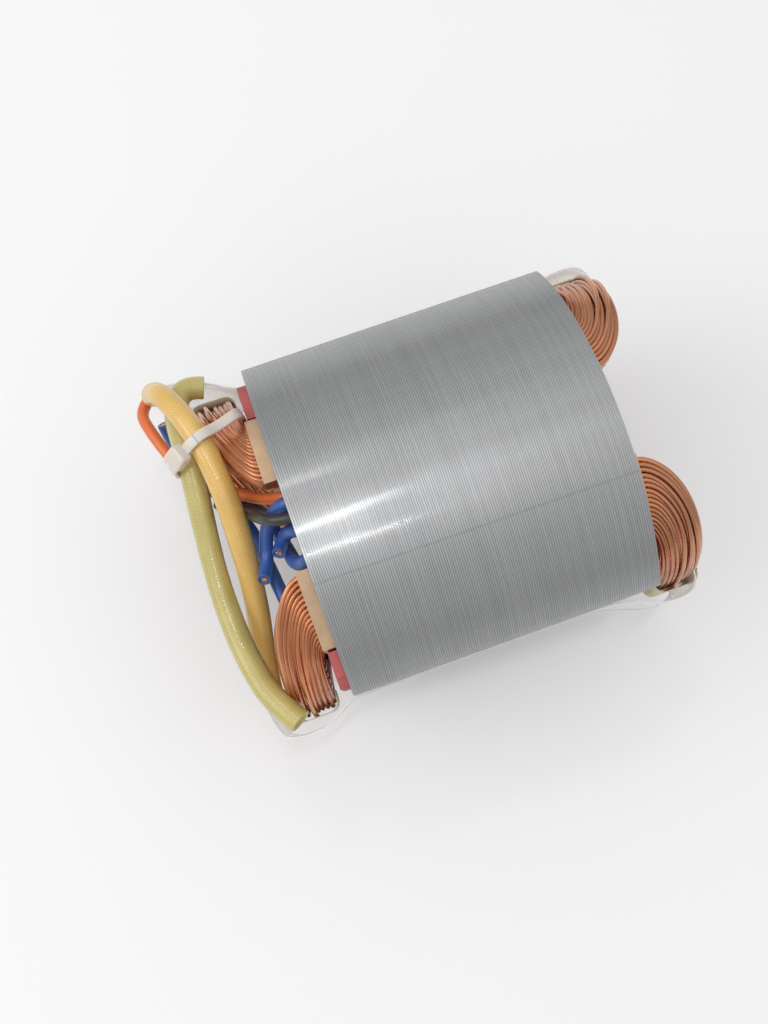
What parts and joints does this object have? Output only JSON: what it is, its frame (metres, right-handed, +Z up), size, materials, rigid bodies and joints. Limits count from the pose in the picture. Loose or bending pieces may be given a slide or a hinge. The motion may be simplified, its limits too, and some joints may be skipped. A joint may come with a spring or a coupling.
{
  "type": "stator lamination stack",
  "caption": "Wound two-pole field of a universal motor: a laminated steel stator stack with saddle-shaped copper field coils, slot liners, sleeved leads and a cable tie.",
  "frame": {"origin": "on the rotor bore's axis, half-way along the lamination stack", "axes": "+X along the bore from the lead end to the plain end, +Y towards one pole (the flats are square to Y), +Z up, away from the round side that it rests on"},
  "size_m": [0.1134, 0.0899, 0.092],
  "materials": {
    "lamination_steel": "satin",
    "enamelled_copper": "glossy enamel",
    "liner_paper": "satin",
    "red_fibre": "matt",
    "cream_paper": "matt",
    "clear_film": "clear, glossy",
    "sleeve_green": "woven, varnished",
    "sleeve_orange": "woven, varnished",
    "orange_insulation": "satin",
    "black_insulation": "satin",
    "blue_insulation": "satin",
    "bare_copper": "bright",
    "tie_nylon": "translucent, satin"
  },
  "bodies": {
    "root": {"lamination_stack": "lamination_steel", "field_coil_upper": "enamelled_copper", "slot_liner_upper_top": "liner_paper", "slot_liner_upper_base": "liner_paper", "end_insulator_upper_lead": "red_fibre", "coil_paper_upper_lead": "cream_paper", "end_insulator_upper_plain": "red_fibre", "coil_paper_upper_plain": "cream_paper", "film_wrap_upper": "clear_film", "field_coil_lower": "enamelled_copper", "slot_liner_lower_top": "liner_paper", "slot_liner_lower_base": "liner_paper", "end_insulator_lower_lead": "red_fibre", "coil_paper_lower_lead": "cream_paper", "end_insulator_lower_plain": "red_fibre", "coil_paper_lower_plain": "cream_paper", "film_wrap_lower": "clear_film", "sleeve_green": "sleeve_green", "sleeve_orange": "sleeve_orange", "orange_lead": "orange_insulation", "black_lead_outer": "black_insulation", "black_lead_inner": "black_insulation", "blue_lead_1": "blue_insulation", "blue_lead_2": "blue_insulation", "blue_lead_3": "blue_insulation", "blue_lead_4": "blue_insulation", "lead_conductors": "bare_copper", "cable_tie": "tie_nylon"}
  },
  "joints": []
}
